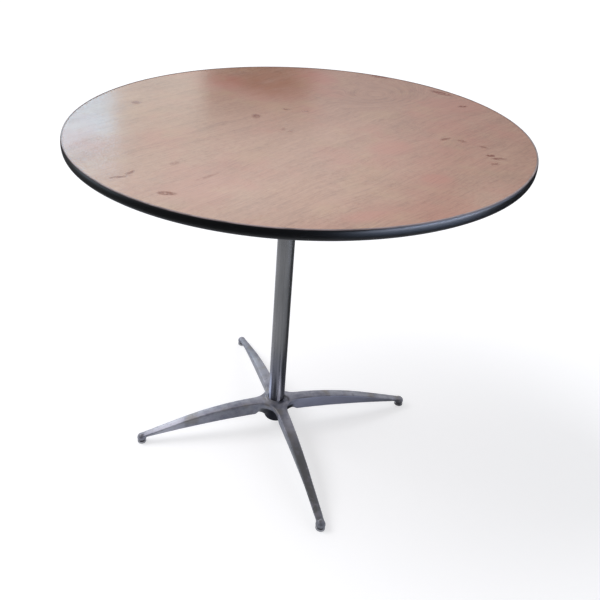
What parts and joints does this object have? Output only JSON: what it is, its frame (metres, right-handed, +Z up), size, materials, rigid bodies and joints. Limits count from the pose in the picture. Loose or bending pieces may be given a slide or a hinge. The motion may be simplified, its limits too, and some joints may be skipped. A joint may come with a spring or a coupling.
{
  "type": "cafe table",
  "caption": "Round pedestal cafe table: plywood top with a vinyl edge moulding, tube column, cast aluminium four-leg base and threaded levelling glides.",
  "frame": {"origin": "on the floor, on the axis of the column, under the middle of the round top", "axes": "+Z up along the column; the four legs point along +X, +Y, -X and -Y; -Y is the side nearest the viewer of the picture"},
  "size_m": [0.9143, 0.9144, 0.7627],
  "materials": {
    "plywood": "birch and hardwood plies, cut edge hidden",
    "face_veneer": "rotary-cut pinkish brown veneer under a clear satin-gloss coat",
    "back_veneer": "rotary-cut veneer, sanded, uncoated",
    "black_vinyl": "extruded black vinyl, soft gloss",
    "cast_aluminium": "satin cast aluminium",
    "tube_aluminium": "drawn and polished tube, dulled by use",
    "zinc_steel": "zinc-plated steel",
    "cup_steel": "darkened steel",
    "nylon": "off-white nylon"
  },
  "bodies": {
    "table": {"tabletop_core": "plywood", "face_veneer": "face_veneer", "back_veneer": "back_veneer", "edge_moulding": "black_vinyl", "mounting_spider": "cast_aluminium", "spider_screws": "zinc_steel", "column_tube": "tube_aluminium", "tie_rod": "zinc_steel", "top_nut": "zinc_steel", "base_casting": "cast_aluminium", "plate_washer": "zinc_steel", "lock_washer": "zinc_steel", "clamp_nut": "zinc_steel"},
    "pad_right": {"glide_cup_right": "cup_steel", "glide_sole_right": "nylon"},
    "stem_right": {"glide_stem_right": "zinc_steel"},
    "pad_back": {"glide_cup_back": "cup_steel", "glide_sole_back": "nylon"},
    "stem_back": {"glide_stem_back": "zinc_steel"},
    "pad_left": {"glide_cup_left": "cup_steel", "glide_sole_left": "nylon"},
    "stem_left": {"glide_stem_left": "zinc_steel"},
    "pad_front": {"glide_cup_front": "cup_steel", "glide_sole_front": "nylon"},
    "stem_front": {"glide_stem_front": "zinc_steel"}
  },
  "joints": [
    {"name": "glide_right_height", "type": "slide", "parent": "table", "child": "pad_right", "axis": [0, 0, -1], "range_m": [0, 0.005]},
    {"name": "glide_right_turn", "type": "hinge", "parent": "pad_right", "child": "stem_right", "pos_m": [0.327, 0, 0], "axis": [0, 0, -1], "range_deg": [0, 1417.3]},
    {"name": "glide_back_height", "type": "slide", "parent": "table", "child": "pad_back", "axis": [0, 0, -1], "range_m": [0, 0.005]},
    {"name": "glide_back_turn", "type": "hinge", "parent": "pad_back", "child": "stem_back", "pos_m": [0, 0.327, 0], "axis": [0, 0, -1], "range_deg": [0, 1417.3]},
    {"name": "glide_left_height", "type": "slide", "parent": "table", "child": "pad_left", "axis": [0, 0, -1], "range_m": [0, 0.005]},
    {"name": "glide_left_turn", "type": "hinge", "parent": "pad_left", "child": "stem_left", "pos_m": [-0.327, 0, 0], "axis": [0, 0, -1], "range_deg": [0, 1417.3]},
    {"name": "glide_front_height", "type": "slide", "parent": "table", "child": "pad_front", "axis": [0, 0, -1], "range_m": [0, 0.005]},
    {"name": "glide_front_turn", "type": "hinge", "parent": "pad_front", "child": "stem_front", "pos_m": [0, -0.327, 0], "axis": [0, 0, -1], "range_deg": [0, 1417.3]}
  ],
  "couplings": [
    {"joint": "glide_right_height", "follows": "glide_right_turn", "m_per_rad": 0.00020213},
    {"joint": "glide_back_height", "follows": "glide_back_turn", "m_per_rad": 0.00020213},
    {"joint": "glide_left_height", "follows": "glide_left_turn", "m_per_rad": 0.00020213},
    {"joint": "glide_front_height", "follows": "glide_front_turn", "m_per_rad": 0.00020213}
  ]
}
